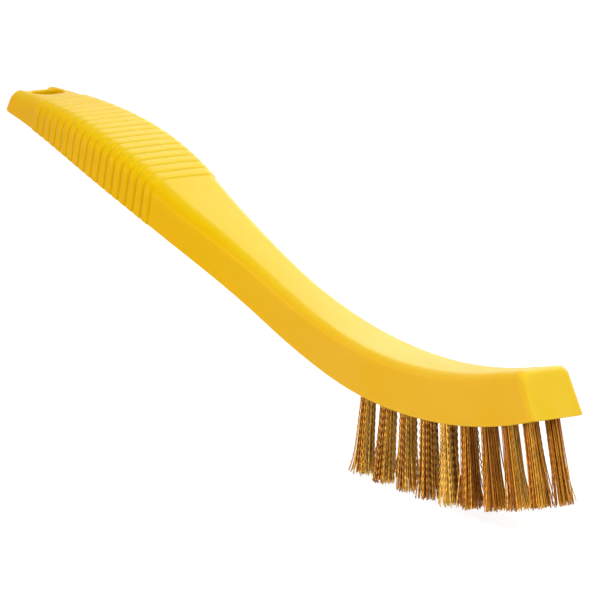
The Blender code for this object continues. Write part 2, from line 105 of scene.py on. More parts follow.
def half_wave(share: float) -> float:
    """Return a rise from 0 to 1 that is level at both ends."""
    return 0.5 - 0.5 * math.cos(math.pi * held(share))


class Slot(Enum):
    """The record's material slots."""

    PLASTIC = "handle_plastic"
    BRASS = "brass_wire"
    STEEL = "anchor_wire"


class Row(Enum):
    """The two rows of tufts, each with its side of the middle plane."""

    LEFT = 1
    RIGHT = -1


class Zone(Enum):
    """The zones of the moulding's cross-section, from underneath to the middle on top."""

    UNDERSIDE = "underside"
    FOOT = "foot"
    SIDE = "side"
    EDGE = "edge"
    TOP = "top"


# Node graphs

# The Mix node's sockets have the same names for every kind of value, so they go by number.
MIX_FIRST, MIX_SECOND, MIX_RESULT = 6, 7, 2
# The middle part of a noise's values, which a range of roughness is spread over.
NOISE_CORE = (0.3, 0.7)


class Graph:
    """A short way to build the node graph of one material."""

    def __init__(self, name: str) -> None:
        """Start a material with its Principled shader and its output."""
        self.material = bpy.data.materials.new(name)
        self.material.use_nodes = True
        self.nodes = self.material.node_tree.nodes
        self.links = self.material.node_tree.links
        self.shader = self.nodes["Principled BSDF"]
        self.output = self.nodes["Material Output"]

    def feed(self, node: bpy.types.Node, **values: object) -> None:
        """Give a node its properties, and its inputs a value or a link, with spaces as underscores."""
        for name, value in values.items():
            if hasattr(node, name):
                setattr(node, name, value)
            elif isinstance(value, Socket):
                self.join(value, node.inputs[name.replace("_", " ")])
            else:
                node.inputs[name.replace("_", " ")].default_value = value

    def add(self, kind: str, **values: object) -> bpy.types.Node:
        """Add a node, by its type without the ShaderNode prefix, and feed it the values."""
        node = self.nodes.new(f"ShaderNode{kind}")
        self.feed(node, **values)
        return node

    def finish(self, **values: object) -> Material:
        """Feed the shader the values and return the material."""
        self.feed(self.shader, **values)
        return self.material

    def join(self, source: Socket, target: Socket) -> None:
        """Link a socket to another."""
        self.links.new(source, target)

    def place(self) -> Socket:
        """Return the object's own coordinates."""
        return self.add("TexCoord").outputs["Object"]

    def noise(self, scale: Triple, detail: float) -> Socket:
        """Return a noise value with its own scale along each axis, per metre."""
        place = self.add("Mapping", Vector=self.place(), Scale=scale).outputs["Vector"]
        return self.add("TexNoise", Scale=1.0, Detail=detail, Vector=place).outputs["Fac"]

    def attribute(self, name: str) -> Socket:
        """Return the value of one of the mesh's own attributes."""
        return self.add("Attribute", attribute_name=name).outputs["Fac"]

    def spread(self, value: Socket, low: float, high: float, to_low: float, to_high: float) -> Socket:
        """Return a value carried from the range low..high to the range to_low..to_high, and held there."""
        ends = {"From_Min": low, "From_Max": high, "To_Min": to_low, "To_Max": to_high}
        return self.add("MapRange", Value=value, **ends).outputs["Result"]

    def blend(self, share: Socket, first: Triple | Socket, second: Triple | Socket) -> Socket:
        """Return a colour the given share of the way from first to second, each a colour or a socket."""
        node = self.add("Mix", data_type="RGBA", Factor=share)
        for index, colour in ((MIX_FIRST, first), (MIX_SECOND, second)):
            if isinstance(colour, tuple):
                node.inputs[index].default_value = (*colour, 1.0)
            else:
                self.join(colour, node.inputs[index])
        return node.outputs[MIX_RESULT]

    def ramp(self, value: Socket, stops: Stops) -> Socket:
        """Return the colour of a ramp at the value, from stops of a place and a colour each."""
        node = self.add("ValToRGB", Fac=value)
        elements = node.color_ramp.elements
        while len(elements) < len(stops):
            elements.new(0.5)
        for element, (place, colour) in zip(elements, stops):
            element.position = place
            element.color = (*colour, 1.0)
        return node.outputs["Color"]

    def along(self, start: float, end: float) -> Socket:
        """Return how far a point lies between two places along the brush, from 0 to 1."""
        split = self.add("SeparateXYZ", Vector=self.place())
        return self.spread(split.outputs["X"], start, end, 0.0, 1.0)

    def bump(self, *heights: tuple[Socket, float]) -> Socket:
        """Return the normal of a bump of several heights, each a value and its depth in metres."""
        before: dict[str, Socket] = {}
        for height, depth in heights:
            node = self.add("Bump", Strength=1.0, Distance=depth, Height=height, **before)
            before = {"Normal": node.outputs["Normal"]}
        return before["Normal"]


@dataclass(frozen=True)
class MouldedPlastic:
    """Satin yellow polypropylene as it comes from the mould, with painted shade in the grooves of the grip
    and a painted pale reflection on the sides of the head.
    """

    # The colour grows lighter from the tail to the head, and the raised blue of the head's stop paints a
    # pale reflection on the head's sides.
    stops: Stops = (
        (0.0, (0.70, 0.43, 0.0005)),
        (0.25, (0.77, 0.51, 0.0008)),
        (0.62, (0.78, 0.53, 0.0010)),
        (1.0, (0.80, 0.53, 0.036)),
    )
    warm: Triple = (0.78, 0.50, 0.002)
    # The colour that the grooves are darkened towards, as painted shade.
    groove: Triple = (0.73, 0.47, 0.001)
    roughness: Pair = (0.42, 0.52)
    specular: float = 0.6
    specular_tint: Triple = (1.0, 0.75, 0.03)
    scatter: float = 0.35
    scatter_reach: float = 2.2 * MM
    scatter_shares: Triple = (1.0, 0.5, 0.12)
    stops_reach: Pair = (-0.11, 0.03)
    cloud: Noise = ((38.0, 60.0, 60.0), 2.0)
    drag: Noise = ((90.0, 900.0, 900.0), 4.0)
    grain: Noise = ((2600.0, 2600.0, 2600.0), 3.0)
    ripple: Noise = ((120.0, 160.0, 160.0), 1.0)
    grain_depth: float = 0.006 * MM
    ripple_depth: float = 0.05 * MM
    cloud_range: Range = (0.4, 0.75, 0.0, 0.7)
    groove_shade_range: Range = (0.2, 0.9, 0.0, 0.9)

    def build(self) -> Material:
        """Return the material."""
        graph = Graph("moulded_plastic")
        body = graph.ramp(graph.along(*self.stops_reach), self.stops)
        cloud = graph.spread(graph.noise(*self.cloud), *self.cloud_range)
        # The groove share darkens the colour towards the bottoms of the grooves: painted shade.
        groove = graph.spread(graph.attribute("groove"), *self.groove_shade_range)
        return graph.finish(
            Base_Color=graph.blend(groove, graph.blend(cloud, body, self.warm), self.groove),
            Roughness=graph.spread(graph.noise(*self.drag), *NOISE_CORE, *self.roughness),
            Normal=graph.bump(
                (graph.noise(*self.ripple), self.ripple_depth),
                (graph.noise(*self.grain), self.grain_depth),
            ),
            Specular_IOR_Level=self.specular,
            Specular_Tint=(*self.specular_tint, 1.0),
            Subsurface_Weight=self.scatter,
            Subsurface_Scale=self.scatter_reach,
            Subsurface_Radius=self.scatter_shares,
        )


@dataclass(frozen=True)
class CrimpedBrass:
    """Drawn and crimped brass wire: brown where it has tarnished, and lightened on the crests of the crimp
    as a painted highlight.
    """

    stops: Stops = (
        (0.0, (0.15, 0.036, 0.003)),
        (0.32, (0.46, 0.155, 0.011)),
        (0.62, (0.86, 0.430, 0.037)),
        (1.0, (0.97, 0.700, 0.160)),
    )
    tarnish: Triple = (0.18, 0.062, 0.007)
    metal: float = 0.65
    roughness: Pair = (0.26, 0.40)
    streak: Noise = ((900.0, 900.0, 110.0), 3.0)
    scratch: Noise = ((4200.0, 4200.0, 500.0), 2.0)
    scratch_depth: float = 0.004 * MM
    tarnish_range: Range = (0.46, 0.74, 0.0, 0.7)
    crest_highlight_range: Range = (0.3, 1.0, 0.0, 0.4)

    def build(self) -> Material:
        """Return the material."""
        graph = Graph("crimped_brass")
        streak = graph.noise(*self.streak)
        tarnished = graph.spread(streak, *self.tarnish_range)
        # Near the crests of the crimp the wire is lightened towards the brightest brass: a painted
        # highlight.
        crest = graph.spread(graph.attribute("crimp_crest"), *self.crest_highlight_range)
        body = graph.ramp(graph.attribute("wire_tone"), self.stops)
        crest_highlight = graph.blend(crest, body, self.stops[-1][1])
        return graph.finish(
            Base_Color=graph.blend(tarnished, crest_highlight, self.tarnish),
            Roughness=graph.spread(streak, *NOISE_CORE, *self.roughness),
            Normal=graph.bump((graph.noise(*self.scratch), self.scratch_depth)),
            Metallic=self.metal,
        )


@dataclass(frozen=True)
class RolledSteel:
    """Flat rolled anchor wire, with fine lines along it."""

    bright: Triple = (0.62, 0.61, 0.59)
    dull: Triple = (0.40, 0.39, 0.37)
    roughness: Pair = (0.28, 0.42)
    line_noise: Noise = ((2400.0, 160.0, 2400.0), 3.0)
    line_depth: float = 0.004 * MM

    def build(self) -> Material:
        """Return the material."""
        graph = Graph("rolled_steel")
        lines = graph.noise(*self.line_noise)
        return graph.finish(
            Base_Color=graph.blend(lines, self.dull, self.bright),
            Roughness=graph.spread(lines, *NOISE_CORE, *self.roughness),
            Normal=graph.bump((lines, self.line_depth)),
            Metallic=1.0,
        )


@dataclass(frozen=True)
class WhiteFloor:
    """A matt white floor that looks white to the camera and keeps a faint shadow."""

    bounce: Triple = (0.75, 0.62, 0.45)
    glow: float = 0.9
    shade: float = 0.22

    def build(self) -> Material:
        """Return the material."""
        graph = Graph("white_floor")
        graph.nodes.remove(graph.shader)
        glow = graph.add("Emission", Strength=self.glow)
        faint = graph.add("BsdfDiffuse", Color=(self.shade, self.shade, self.shade, 1.0))
        matt = graph.add("BsdfDiffuse", Color=(*self.bounce, 1.0))
        seen, choose = graph.add("AddShader"), graph.add("MixShader")
        graph.join(seen_rays(graph.material.node_tree), choose.inputs[0])
        for source, target in (
            (glow, seen.inputs[0]),
            (faint, seen.inputs[1]),
            (matt, choose.inputs[1]),
            (seen, choose.inputs[2]),
            (choose, graph.output.inputs["Surface"]),
        ):
            graph.join(source.outputs[0], target)
        return graph.material


def seen_rays(tree: bpy.types.NodeTree) -> Socket:
    """Return 1 for the rays that show a background: from the camera, off gloss and through clear pieces."""
    path = tree.nodes.new("ShaderNodeLightPath")
    seen = path.outputs["Is Camera Ray"]
    for kind in ("Is Glossy Ray", "Is Transmission Ray"):
        either = tree.nodes.new("ShaderNodeMath")
        either.operation = "MAXIMUM"
        tree.links.new(seen, either.inputs[0])
        tree.links.new(path.outputs[kind], either.inputs[1])
        seen = either.outputs[0]
    return seen


# Mesh helpers


def placed(name: str, data: bpy.types.ID) -> Thing:
    """Return a new object in the scene that holds the data."""
    made = bpy.data.objects.new(name, data)
    bpy.context.scene.collection.objects.link(made)
    return made


def new_object(name: str, shape: Shape, material: Material) -> Thing:
    """Return a new smooth-shaded object that holds the shape, with outward normals."""
    bmesh.ops.recalc_face_normals(shape, faces=shape.faces)
    mesh = bpy.data.meshes.new(name)
    shape.to_mesh(mesh)
    shape.free()
    mesh.materials.append(material)
    mesh.shade_smooth()
    return placed(name, mesh)


def add_band(shape: Shape, first: list, second: list) -> None:
    """Join two rings of vertices with quads."""
    for index in range(len(first)):
        after = (index + 1) % len(first)
        shape.faces.new((first[index], first[after], second[after], second[index]))


def add_loft(shape: Shape, loops: list[list[Vector]], capped: bool = True) -> list[list]:
    """Skin closed loops of equal length with quads, with caps where asked, and return their vertices."""
    rings = [[shape.verts.new(point) for point in loop] for loop in loops]
    for first, second in zip(rings, rings[1:]):
        add_band(shape, first, second)
    if capped:
        shape.faces.new(rings[0])
        shape.faces.new(tuple(reversed(rings[-1])))
    return rings


def give_attribute(mesh: bpy.types.Mesh, name: str, values: list[float]) -> None:
    """Give every vertex of the mesh a value under the name."""
    mesh.attributes.new(name, "FLOAT", "POINT").data.foreach_set("value", values)


# The moulded handle


@dataclass(frozen=True)
class ArcStretch:
    """One stretch of the underside: where it starts, its height and slope there, and its curvature."""

    start: float
    height: float
    sine: float
    curvature: float

    def sine_at(self, x: float) -> float:
        """Return the sine of the slope at station x."""
        return self.sine + self.curvature * (x - self.start)

    def height_at(self, x: float) -> float:
        """Return the height of the underside at station x."""
        sine = self.sine_at(x)
        if self.curvature == 0.0:
            return self.height + (x - self.start) * sine / math.sqrt(1.0 - sine * sine)
        rise = math.sqrt(1.0 - self.sine * self.sine) - math.sqrt(1.0 - sine * sine)
        return self.height + rise / self.curvature


@dataclass
class Underside:
    """The underside of the handle in side view, as arcs that meet in line, lowest over the middle tufts."""

    grip_arc_length: float = 66.8 * MM
    grip_arc_radius: float = 311.0 * MM
    shaft_length: float = 44.1 * MM
    neck_arc_length: float = 27.7 * MM
    neck_arc_radius: float = 197.0 * MM
    head_rear_length: float = 28.2 * MM
    head_front_length: float = 51.3 * MM
    head_arc_radius: float = 133.0 * MM
    lowest_height: float = 22.18866 * MM
    stretches: list[ArcStretch] = field(init=False)

    def __post_init__(self) -> None:
        """Lay the arcs out from the lowest point of the head back to the tail."""
        lowest = self.length() - self.head_front_length
        self.stretches = [ArcStretch(lowest, self.lowest_height, 0.0, 1.0 / self.head_arc_radius)]
        for length, curvature in (
            (self.head_rear_length, 1.0 / self.head_arc_radius),
            (self.neck_arc_length, 1.0 / self.neck_arc_radius),
            (self.shaft_length, 0.0),
            (self.grip_arc_length, -1.0 / self.grip_arc_radius),
        ):
            after = self.stretches[0]
            end = ArcStretch(after.start, after.height, after.sine, curvature)
            start = after.start - length
            self.stretches.insert(0, ArcStretch(start, end.height_at(start), end.sine_at(start), curvature))

    def length(self) -> float:
        """Return the length of the handle."""
        behind = self.grip_arc_length + self.shaft_length + self.neck_arc_length
        return behind + self.head_rear_length + self.head_front_length

    def stretch_at(self, x: float) -> ArcStretch:
        """Return the stretch that holds station x."""
        passed = [stretch for stretch in self.stretches if stretch.start <= x]
        return passed[-1] if passed else self.stretches[0]

    def height(self, x: float) -> float:
        """Return the height of the underside over the floor at station x."""
        return self.stretch_at(x).height_at(x)

    def slope(self, x: float) -> float:
        """Return the slope angle of the underside at station x."""
        return math.asin(self.stretch_at(x).sine_at(x))


@dataclass(frozen=True)
class GripRibs:
    """The ribs that wrap the top and both sides of the grip."""

    count: int = 18
    pitch: float = 2.913 * MM
    height: float = 0.34 * MM
    top_share: float = 0.8
    roundness: float = 4.4
    groove_softness: float = 0.07
    first_groove: float = 14.7 * MM
    steps: int = 12

    def end(self) -> float:
        """Return the station of the last groove."""
        return self.first_groove + self.count * self.pitch

    def share(self, x: float) -> float:
        """Return how far the surface at station x has risen from a groove to a crest, from 0 to 1."""
        place = (x - self.first_groove) / self.pitch
        if not 0.0 < place < self.count:
            return 0.0
        near = 1.0 - abs(2.0 * (place - math.floor(place)) - 1.0)
        soft = math.hypot(near, self.groove_softness) - self.groove_softness
        whole = math.hypot(1.0, self.groove_softness) - self.groove_softness
        return 1.0 - (1.0 - soft / whole) ** self.roundness

    def rise(self, x: float) -> float:
        """Return how far the ribs stand out at station x."""
        return self.height * self.share(x)

    def stations(self) -> list[float]:
        """Return stations over the ribs, closest together in the grooves."""
        return [
            self.first_groove + self.pitch * (rib + half_wave(step / self.steps))
            for rib in range(self.count)
            for step in range(self.steps)
        ]


@dataclass(frozen=True)
class HangingHole:
    """The hole at the tail, and the dip in the bar behind it."""

    length: float = 6.8 * MM
    width: float = 10.4 * MM
    corner_radius: float = 3.3 * MM
    corner_steps: int = 10
    tail_wall: float = 4.3 * MM
    rim_radius: float = 0.55 * MM
    rim_steps: int = 5
    rim_turn: float = 1.4
    rim_clear: float = 0.08 * MM
    past: float = 3.0 * MM
    dip_depth: float = 0.65 * MM
    dip_half_width: float = 5.8 * MM
    dip_flat_half_width: float = 4.1 * MM
    dip_length: float = 7.5 * MM

    def dip(self, x: float, y: float) -> float:
        """Return how far the top of the end bar dips at station x, at the distance y from the middle."""
        slope_width = self.dip_half_width - self.dip_flat_half_width
        across = half_wave((self.dip_half_width - abs(y)) / slope_width)
        along = half_wave((self.dip_length - x) / (self.dip_length - self.tail_wall))
        return self.dip_depth * across * along

    def outline(self, offset: float) -> list[Pair]:
        """Return the hole's outline as (station, y), moved out by the offset."""
        radius = self.corner_radius + offset
        centre = self.tail_wall + 0.5 * self.length
        points = []
        for corner, (ahead, aside) in enumerate(((1, 1), (-1, 1), (-1, -1), (1, -1))):
            x = centre + ahead * (0.5 * self.length - self.corner_radius)
            y = aside * (0.5 * self.width - self.corner_radius)
            for step in range(self.corner_steps + 1):
                turn = RIGHT_ANGLE * (corner + step / self.corner_steps)
                points.append((x + radius * math.cos(turn), y + radius * math.sin(turn)))
        return points

    def rim(self) -> list[Pair]:
        """Return the rounded rim as (offset out, depth under the surface), from the wall up past it."""
        radius = self.rim_radius
        turns = [self.rim_turn * step / self.rim_steps for step in range(self.rim_steps + 1)]
        curve = [(radius * (1.0 - math.cos(turn)), radius * (1.0 - math.sin(turn))) for turn in turns]
        return curve + [(radius, -self.rim_clear), (radius, -self.past)]


@dataclass(frozen=True)
class End:
    """The slant and the rounding of one end of the moulding, which points along X as its direction says.

    The top edge turns by a smaller share of the angle than the sides, since the end face slants.
    """

    direction: float
    lean: float
    lean_reach: float
    side_radius: float
    top_radius: float
    top_turn_share: float

    def side_inset(self, turn: float) -> float:
        """Return how far each side is drawn in."""
        return self.side_radius * (1.0 - math.cos(turn))

    def top_inset(self, turn: float) -> float:
        """Return how far the top is drawn down."""
        return self.top_radius * (1.0 - math.cos(turn * self.top_turn_share))

    def advance(self, turn: float, share_up: float) -> float:
        """Return how far a point has moved out to the end, which differs at the foot and at the top."""
        side = self.side_radius * math.sin(turn)
        top = self.top_radius * math.sin(turn * self.top_turn_share)
        return self.direction * mix(side, top, share_up)


@dataclass
class TuftSeat:
    """Where one tuft stands in the head, and which way it points."""

    row: Row
    column: int
    foot: Vector
    lean: float

    def along(self) -> Vector:
        """Return the direction out of the head."""
        return Vector((math.sin(self.lean), 0.0, -math.cos(self.lean)))

    def place(self, out: float, sideways: float, lengthways: float) -> Vector:
        """Return a point given from the seat: out of the head, towards +Y, and towards the nose."""
        ahead = Vector((math.cos(self.lean), 0.0, math.sin(self.lean)))
        return self.foot + self.along() * out + Vector((0.0, sideways, 0.0)) + ahead * lengthways

    def name(self) -> str:
        """Return the tuft's place in the names of its pieces, numbered from the nose."""
        return f"{self.row.name.lower()}_{self.column + 1}"


@dataclass
class HandleMoulding:
    """The one-piece moulded handle, with its hanging hole, grip ribs and tuft holes."""

    underside: Underside = field(default_factory=Underside)
    ribs: GripRibs = field(default_factory=GripRibs)
    hole: HangingHole = field(default_factory=HangingHole)
    tail_thickness: float = 5.6 * MM
    grip_thickness: float = 12.6 * MM
    shaft_thickness: float = 11.8 * MM
    head_thickness: float = 14.85 * MM
    tail_taper_length: float = 58.0 * MM
    shaft_taper_length: float = 22.0 * MM
    head_taper_length: float = 100.0 * MM
    head_taper_to_nose: float = 16.9 * MM
    head_taper_power: float = 1.8
    half_widths: tuple[float, ...] = (8.9 * MM, 13.2 * MM, 7.6 * MM, 9.0 * MM)
    widening_softness: float = 0.6
    grip_widest: float = 47.2 * MM
    neck_from_nose: float = 106.9 * MM
    head_full_from_nose: float = 56.9 * MM
    side_draft: float = 0.054
    edge_radii: tuple[float, ...] = (3.2 * MM, 4.3 * MM, 2.9 * MM, 2.3 * MM)
    foot_radius: float = 0.35 * MM
    crown: float = 0.12 * MM
    tail: End = End(-1.0, 0.4 * MM, 6.0 * MM, 3.6 * MM, 2.0 * MM, 0.75)
    nose: End = End(1.0, 7.6 * MM, 24.0 * MM, 1.8 * MM, 3.5 * MM, 0.69)
    end_steps: int = 10
    plain_step: float = 1.1 * MM
    tail_at: float = -111.09668 * MM
    zone_steps: tuple[tuple[Zone, int], ...] = (
        (Zone.UNDERSIDE, 4),
        (Zone.FOOT, 3),
        (Zone.SIDE, 6),
        (Zone.EDGE, 8),
        (Zone.TOP, 10),
    )
    cap_shares: tuple[float, ...] = (0.12, 0.35, 0.65)
    sharp_angle: float = math.radians(50.0)

    def thickness(self, x: float) -> float:
        """Return the thickness of the moulding at station x, without ribs."""
        taper_start = self.underside.length() - self.head_taper_to_nose - self.head_taper_length
        tail = mix(self.tail_thickness, self.grip_thickness, quarter_wave(x / self.tail_taper_length))
        waist = half_wave((x - self.tail_taper_length) / self.shaft_taper_length)
        tail -= (self.grip_thickness - self.shaft_thickness) * waist
        share = held((x - taper_start) / self.head_taper_length)
        return tail + (self.head_thickness - self.shaft_thickness) * share**self.head_taper_power

    def size_at(self, x: float, sizes: tuple[float, ...], softness: float) -> float:
        """Return a size at station x, from its values at the tail, the widest grip, the neck and the head.

        The softness is 0 where the size leaves the tail steeply, and 1 where it leaves it level.
        """
        tail, grip, neck, head = sizes
        neck_at = self.underside.length() - self.neck_from_nose
        head_at = self.underside.length() - self.head_full_from_nose
        if x < self.grip_widest:
            share = x / self.grip_widest
            return mix(tail, grip, mix(quarter_wave(share), half_wave(share), softness))
        if x < neck_at:
            return mix(grip, neck, half_wave((x - self.grip_widest) / (neck_at - self.grip_widest)))
        return mix(neck, head, half_wave((x - neck_at) / (head_at - neck_at)))

    def half_width(self, x: float) -> float:
        """Return half the width of the top face at station x, without ribs."""
        return self.size_at(x, self.half_widths, self.widening_softness)

    def edge_radius(self, x: float) -> float:
        """Return the radius of the two top edges at station x."""
        return self.size_at(x, self.edge_radii, 0.0)

    def end_lean(self, x: float) -> float:
        """Return how far the top of the section at station x is set back from its foot, towards the tail."""
        nose = half_wave((x - self.underside.length() + self.nose.lean_reach) / self.nose.lean_reach)
        tail = half_wave((self.tail.lean_reach - x) / self.tail.lean_reach)
        return self.nose.lean * nose - self.tail.lean * tail

    def half_section(self) -> list[tuple[Zone, float]]:
        """Return half a cross-section as (zone, share of it), from underneath to the middle on top."""
        spots = [(Zone.UNDERSIDE, 0.0)]
        for zone, steps in self.zone_steps:
            spots += [(zone, step / steps) for step in range(1, steps + 1)]
        return spots

    def point(self, station: float, end: End, turned: float, zone: Zone, share: float) -> Vector:
        """Return one point of the cross-section on the +Y side.

        Args:
            station: X of the section's foot before any rounding.
            end: the end whose rounding the section is in.
            turned: how far the rounding has turned there, which is 0 away from the ends.
            zone: the zone that the point is in.
            share: how far the point is through the zone.

        Returns:
            The point, with X still measured from the tail.
        """
        turn = RIGHT_ANGLE * share
        edge_start = 1.0 - self.edge_radius(station) / self.thickness(station)
        share_up = {
            Zone.UNDERSIDE: 0.0,
            Zone.FOOT: 0.0,
            Zone.SIDE: edge_start * share,
            Zone.EDGE: 1.0 - (1.0 - edge_start) * (1.0 - math.sin(turn)),
            Zone.TOP: 1.0,
        }[zone]
        x = station - self.end_lean(station) * share_up + end.advance(turned, share_up)
        tall = self.thickness(x) - end.top_inset(turned)
        rise = self.ribs.rise(x)
        radius = self.edge_radius(x)
        half = self.half_width(x) + rise - end.side_inset(turned)
        foot_out = half + self.side_draft * tall
        crest = tall + self.ribs.top_share * rise
        if zone is Zone.UNDERSIDE:
            out, up = (foot_out - self.foot_radius) * share, 0.0
        elif zone is Zone.FOOT:
            out = foot_out - self.foot_radius * (1.0 - math.sin(turn))
            up = self.foot_radius * (1.0 - math.cos(turn))
        elif zone is Zone.SIDE:
            up = mix(self.foot_radius, crest - radius, share)
            out = half + self.side_draft * (tall - up)
        else:
            sine = math.sin(turn) if zone is Zone.EDGE else 1.0
            up = crest - radius * (1.0 - sine)
            out = half + self.side_draft * (tall - up) - radius * (1.0 - math.sqrt(1.0 - sine * sine))
            if zone is Zone.TOP:
                up += self.crown * (1.0 - (1.0 - share) ** 2)
                out *= 1.0 - share
            up -= self.hole.dip(x, out)
        return Vector((x, out, self.underside.height(x) + up))

    def section(self, station: float, end: End, turned: float) -> list[Vector]:
        """Return a whole cross-section, as a loop from underneath round by +Y, over and back by -Y."""
        near = [self.point(station, end, turned, *spot) for spot in self.half_section()]
        far = [Vector((point.x, -point.y, point.z)) for point in reversed(near[1:-1])]
        return near + far

    def flat_end(self, loop: list[Vector]) -> list[Vector]:
        """Return an end section with its points moved into the plane of its foot and its top."""
        foot = min(loop, key=lambda point: point.z)
        top = max(loop, key=lambda point: point.z)
        lean = (top.x - foot.x) / (top.z - foot.z)
        return [Vector((foot.x + lean * (point.z - foot.z), point.y, point.z)) for point in loop]

    def plain_stations(self, start: float, end: float) -> list[float]:
        """Return evenly placed stations from start up to but not including end."""
        count = max(1, round((end - start) / self.plain_step))
        return [mix(start, end, index / count) for index in range(count)]

    def sections(self) -> list[list[Vector]]:
        """Return every cross-section, from the tail to the nose."""
        tail_start = max(self.tail.side_radius, self.tail.top_radius)
        nose_start = self.underside.length() - self.nose.side_radius
        turns = [RIGHT_ANGLE * step / self.end_steps for step in range(1, self.end_steps + 1)]
        stations = self.plain_stations(tail_start, self.ribs.first_groove) + self.ribs.stations()
        stations += self.plain_stations(self.ribs.end(), nose_start) + [nose_start]
        loops = [self.section(tail_start, self.tail, turn) for turn in reversed(turns)]
        loops += [self.section(station, self.nose, 0.0) for station in stations]
        loops += [self.section(nose_start, self.nose, turn) for turn in turns]
        loops[0], loops[-1] = self.flat_end(loops[0]), self.flat_end(loops[-1])
        return loops

    def moved(self, point: Vector) -> Vector:
        """Return a point measured from the tail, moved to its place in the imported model."""
        return Vector((point.x + self.tail_at, point.y, point.z))

    def close_end(self, shape: Shape, ring: list, outward: bool) -> None:
        """Close an end with rings that shrink to its centre, so that the flat face shades evenly."""
        centre = sum((vertex.co for vertex in ring), Vector()) / len(ring)
        for share in self.cap_shares:
            inner = [shape.verts.new(vertex.co.lerp(centre, share)) for vertex in ring]
            add_band(shape, ring, inner)
            ring = inner
        shape.faces.new(ring if outward else tuple(reversed(ring)))

    def hanging_hole_cutter(self) -> Shape:
        """Return the shape that cuts the hanging hole with its rounded rims."""
        def ring(offset: float, depth: float, top: bool) -> list[Vector]:
            """Return the hole's outline at a depth under the top face or over the underside."""
            points = []
            for x, y in self.hole.outline(offset):
                low = self.underside.height(x)
                high = low + self.thickness(x) + self.crown * (1.0 - (y / self.half_width(x)) ** 2)
                z = high - self.hole.dip(x, y) - depth if top else low + depth
                points.append(self.moved(Vector((x, y, z))))
            return points

        below = [ring(offset, depth, False) for offset, depth in reversed(self.hole.rim())]
        above = [ring(offset, depth, True) for offset, depth in self.hole.rim()]
        shape = bmesh.new()
        add_loft(shape, below + above)
        return shape

    def build(self, seats: list[TuftSeat], tuft_hole: TuftHole, material: Material) -> Thing:
        """Build the handle.

        Args:
            seats: the seats of all the tufts.
            tuft_hole: the shape of the hole that each tuft stands in.
            material: the handle's finish.

        Returns:
            The finished handle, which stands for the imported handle.
        """
        shape = bmesh.new()
        loops = [[self.moved(point) for point in loop] for loop in self.sections()]
        rings = add_loft(shape, loops, capped=False)
        self.close_end(shape, rings[0], True)
        self.close_end(shape, rings[-1], False)
        handle = new_object("handle_moulding", shape, material)
        cutters = [new_object("hanging_hole_cutter", self.hanging_hole_cutter(), material)]
        cutters.append(new_object("tuft_hole_cutter", tuft_hole.cutter(seats, self), material))
        for cutter in cutters:
            cut = handle.modifiers.new(cutter.name, "BOOLEAN")
            cut.operation, cut.object, cut.solver = "DIFFERENCE", cutter, "EXACT"
        handle.data.set_sharp_from_angle(angle=self.sharp_angle)
        weigh = handle.modifiers.new("even_shading", "WEIGHTED_NORMAL")
        weigh.keep_sharp = True
        self.bake_down(handle, cutters)
        # The groove share drives the painted shade in the grooves.
        grooves = [self.groove_share(vertex.co) for vertex in handle.data.vertices]
        give_attribute(handle.data, "groove", grooves)
        return handle

    def bake_down(self, handle: Thing, cutters: list[Thing]) -> None:
        """Apply the handle's modifiers and remove its cutters."""
        graph = bpy.context.evaluated_depsgraph_get()
        cut = bpy.data.meshes.new_from_object(handle.evaluated_get(graph), depsgraph=graph)
        handle.modifiers.clear()
        handle.data = cut
        for cutter in cutters:
            bpy.data.objects.remove(cutter)

    def groove_share(self, point: Vector) -> float:
        """Return 1 at the bottom of a groove, falling to 0 at the crests of the ribs and off the grip."""
        x = point.x - self.tail_at
        on_grip = self.ribs.first_groove < x < self.ribs.end()
        return 1.0 - self.ribs.share(x) if on_grip else 0.0


# The tufts


@dataclass(frozen=True)
class Anchor:
    """The piece of flat wire that holds a tuft by its fold."""

    thickness: float = 0.45 * MM
    bite: float = 0.4 * MM
    top_depth: float = 3.4 * MM


@dataclass(frozen=True)
class TuftHole:
    """The blind hole of a tuft, with a kerf on each side where the anchor was driven in."""

    radius: float = 2.4 * MM
    depth: float = 6.6 * MM
    kerf_play: float = 0.03 * MM
    steps: int = 16
    rim_radius: float = 0.2 * MM
    rim_clear: float = 0.02 * MM
    past: float = 3.0 * MM

    def outline(self, anchor: Anchor, offset: float) -> list[Pair]:
        """Return the hole's outline as (sideways, lengthways), moved out by the offset."""
        radius = self.radius + offset
        kerf_half = 0.5 * anchor.thickness + self.kerf_play
        kerf_end = self.radius + anchor.bite + self.kerf_play
        meet = math.asin(kerf_half / radius)
        points = []
        for flip in (1.0, -1.0):
            turns = [mix(meet, math.pi - meet, step / self.steps) for step in range(self.steps + 1)]
            edge = [(radius * math.cos(turn), radius * math.sin(turn)) for turn in turns]
            edge += [(-kerf_end, kerf_half), (-kerf_end, -kerf_half)]
            points += [(flip * sideways, flip * lengthways) for sideways, lengthways in edge]
        return points

    def cutter(self, seats: list[TuftSeat], handle: HandleMoulding) -> Shape:
        """Return one shape that cuts the holes of all the tufts, with softened rims."""
        anchor = Anchor()
        shape = bmesh.new()
        for seat in seats:
            loops = [[seat.place(-self.depth, *spot) for spot in self.outline(anchor, 0.0)]]
            wide = self.rim_radius
            for offset, depth in ((0.0, wide), (wide, -self.rim_clear), (wide, -self.past)):
                loops.append([
                    seat.place(self.surface(seat, handle, lengthways) - depth, sideways, lengthways)
                    for sideways, lengthways in self.outline(anchor, offset)
                ])
            add_loft(shape, loops)
        return shape

    def surface(self, seat: TuftSeat, handle: HandleMoulding, lengthways: float) -> float:
        """Return how far out of the seat the underside lies, at a distance towards the nose."""
        point = seat.place(0.0, 0.0, lengthways)
        return (point.z - handle.underside.height(point.x - handle.tail_at)) / math.cos(seat.lean)


